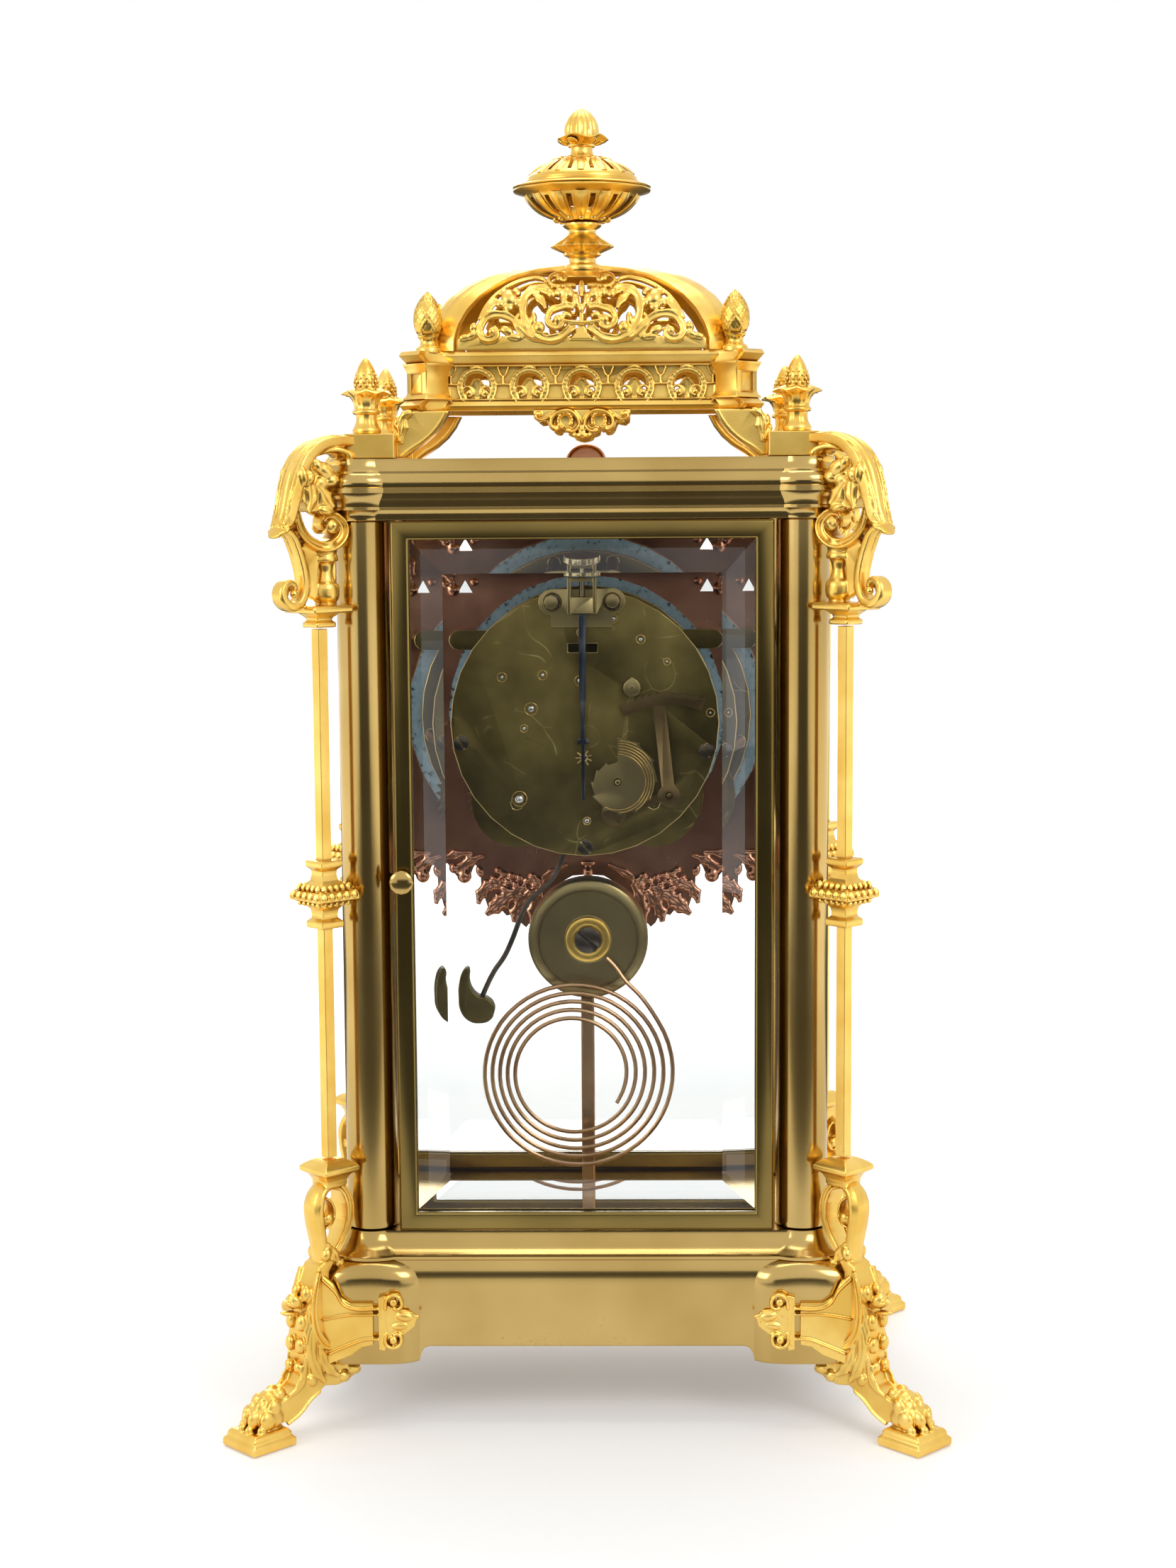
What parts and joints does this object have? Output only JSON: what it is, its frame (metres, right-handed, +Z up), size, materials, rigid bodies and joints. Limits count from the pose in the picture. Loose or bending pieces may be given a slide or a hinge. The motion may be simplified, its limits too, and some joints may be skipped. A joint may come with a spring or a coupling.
{
  "type": "crystal regulator mantel clock",
  "caption": "Gilt mantel clock in a glazed case: hinged doors front and back, columns, corner scrolls on paw feet, pierced dome, visible movement and spiral gong.",
  "frame": {"origin": "on the floor, midway between the four feet", "axes": "+Z up; the dial faces -Y and the back door faces +Y"},
  "size_m": [0.2564, 0.1732, 0.47],
  "materials": {
    "satin_brass": "satin antique brass",
    "clear_glass": "clear, bevelled",
    "gilt_bronze": "gilt casting, slightly worn",
    "dark_brass": "scratched dull brass",
    "enamel": "glazed dial",
    "copper_back": "coppery back of a pressed sheet",
    "blued_steel": "blued",
    "dark_steel": "dark",
    "gong_bronze": "dull coppery"
  },
  "bodies": {
    "case": {"back_plate": "dark_brass", "base_moulding": "satin_brass", "column_back_left": "satin_brass", "column_back_right": "satin_brass", "column_front_left": "satin_brass", "column_front_right": "satin_brass", "corner_bracket_back_left": "gilt_bronze", "corner_bracket_back_right": "gilt_bronze", "corner_bracket_front_left": "gilt_bronze", "corner_bracket_front_right": "gilt_bronze", "corner_rod_back_left": "gilt_bronze", "corner_rod_back_right": "gilt_bronze", "corner_rod_front_left": "gilt_bronze", "corner_rod_front_right": "gilt_bronze", "cornice": "satin_brass", "dial": "enamel", "dial_mask": "copper_back", "dome": "gilt_bronze", "finial_bowl": "gilt_bronze", "finial_lid": "gilt_bronze", "foot_back_left": "gilt_bronze", "foot_back_right": "gilt_bronze", "foot_front_left": "gilt_bronze", "foot_front_right": "gilt_bronze", "front_plate": "dark_brass", "gallery_frieze": "gilt_bronze", "gallery_leg_back_left": "gilt_bronze", "gallery_leg_back_right": "gilt_bronze", "gallery_leg_front_left": "gilt_bronze", "gallery_leg_front_right": "gilt_bronze", "gong_boss": "gong_bronze", "gong_coil": "gong_bronze", "gong_post": "gong_bronze", "gong_screw": "dark_steel", "left_side_glass": "clear_glass", "right_side_glass": "clear_glass", "suspension_bracket": "satin_brass", "urn_finial_back_left": "gilt_bronze", "urn_finial_back_right": "gilt_bronze", "urn_finial_front_left": "gilt_bronze", "urn_finial_front_right": "gilt_bronze"},
    "back_door": {"back_door_frame": "satin_brass", "back_door_glass": "clear_glass"},
    "back_knob": {"back_door_knob": "satin_brass"},
    "front_door": {"front_door_frame": "satin_brass", "front_door_glass": "clear_glass"},
    "front_knob": {"front_door_knob": "satin_brass"},
    "minute_arbor": {"minute_hand": "blued_steel", "centre_wheel": "satin_brass"},
    "hour_pipe": {"hour_hand": "blued_steel"},
    "second_arbor": {"second_wheel": "satin_brass"},
    "time_spring_barrel": {"time_barrel": "satin_brass"},
    "strike_spring_barrel": {"strike_barrel": "satin_brass"},
    "snail_cam": {"snail": "dark_steel"},
    "strike_rack": {"rack": "dark_steel"},
    "gathering_arbor": {"gathering_pallet": "dark_steel"},
    "strike_hammer": {"hammer": "dark_steel"},
    "pendulum_rod": {"suspension_leader": "dark_steel"},
    "pallet_crutch": {"crutch": "dark_steel"},
    "rating_screw": {"rating_knob": "satin_brass"}
  },
  "joints": [
    {"name": "back_door_swing", "type": "hinge", "parent": "case", "child": "back_door", "pos_m": [-0.0635, 0.043, 0], "axis": [0, 0, 1], "range_deg": [0, 95]},
    {"name": "back_door_knob_turn", "type": "hinge", "parent": "back_door", "child": "back_knob", "pos_m": [0.0643, 0.0426, 0.1966], "axis": [0, 1, 0], "range_deg": [-90, 0]},
    {"name": "front_door_swing", "type": "hinge", "parent": "case", "child": "front_door", "pos_m": [0.0635, -0.043, 0], "axis": [0, 0, 1], "range_deg": [0, 95]},
    {"name": "front_door_knob_turn", "type": "hinge", "parent": "front_door", "child": "front_knob", "pos_m": [-0.0643, -0.0426, 0.1966], "axis": [0, 1, 0], "range_deg": [0, 90]},
    {"name": "minute_hand_turn", "type": "hinge", "parent": "case", "child": "minute_arbor", "pos_m": [0, 0, 0.2494], "axis": [0, 1, 0], "continuous": true},
    {"name": "hour_hand_turn", "type": "hinge", "parent": "case", "child": "hour_pipe", "pos_m": [0, 0, 0.2494], "axis": [0, 1, 0], "continuous": true},
    {"name": "second_wheel_turn", "type": "hinge", "parent": "case", "child": "second_arbor", "pos_m": [0.01859, 0, 0.24207], "axis": [0, 1, 0], "continuous": true},
    {"name": "time_barrel_turn", "type": "hinge", "parent": "case", "child": "time_spring_barrel", "pos_m": [0.025, 0, 0.22], "axis": [0, 1, 0], "continuous": true},
    {"name": "snail_turn", "type": "hinge", "parent": "case", "child": "snail_cam", "pos_m": [-0.0119, 0.0142, 0.2281], "axis": [0, 1, 0], "continuous": true},
    {"name": "rack_swing", "type": "hinge", "parent": "case", "child": "strike_rack", "pos_m": [-0.0305, 0.0156, 0.2232], "axis": [0, 1, 0], "range_deg": [-12, 0]},
    {"name": "gathering_pallet_turn", "type": "hinge", "parent": "case", "child": "gathering_arbor", "pos_m": [-0.0172, 0.015, 0.2625], "axis": [0, 1, 0], "continuous": true},
    {"name": "strike_barrel_turn", "type": "hinge", "parent": "case", "child": "strike_spring_barrel", "pos_m": [-0.025, 0, 0.22], "axis": [0, 1, 0], "continuous": true},
    {"name": "hammer_swing", "type": "hinge", "parent": "case", "child": "strike_hammer", "pos_m": [0.0015, 0.002, 0.213], "axis": [0, 1, 0], "range_deg": [-10, 0.5]},
    {"name": "leader_swing", "type": "hinge", "parent": "case", "child": "pendulum_rod", "pos_m": [0.0006, 0.0186, 0.2882], "axis": [0, 1, 0], "range_deg": [-3, 3]},
    {"name": "crutch_swing", "type": "hinge", "parent": "case", "child": "pallet_crutch", "pos_m": [0.0006, 0.0156, 0.2821], "axis": [0, 1, 0], "range_deg": [-3.5, 3.5]},
    {"name": "rating_knob_turn", "type": "hinge", "parent": "case", "child": "rating_screw", "pos_m": [0.0006, 0.0186, 0.303], "axis": [0, 0, 1], "continuous": true}
  ],
  "couplings": [
    {"joint": "hour_hand_turn", "follows": "minute_hand_turn", "ratio": 0.083333},
    {"joint": "second_wheel_turn", "follows": "minute_hand_turn", "ratio": -0.22222},
    {"joint": "time_barrel_turn", "follows": "minute_hand_turn", "ratio": 0.044444},
    {"joint": "snail_turn", "follows": "minute_hand_turn", "ratio": 0.083333},
    {"joint": "crutch_swing", "follows": "leader_swing", "ratio": 1.156}
  ]
}
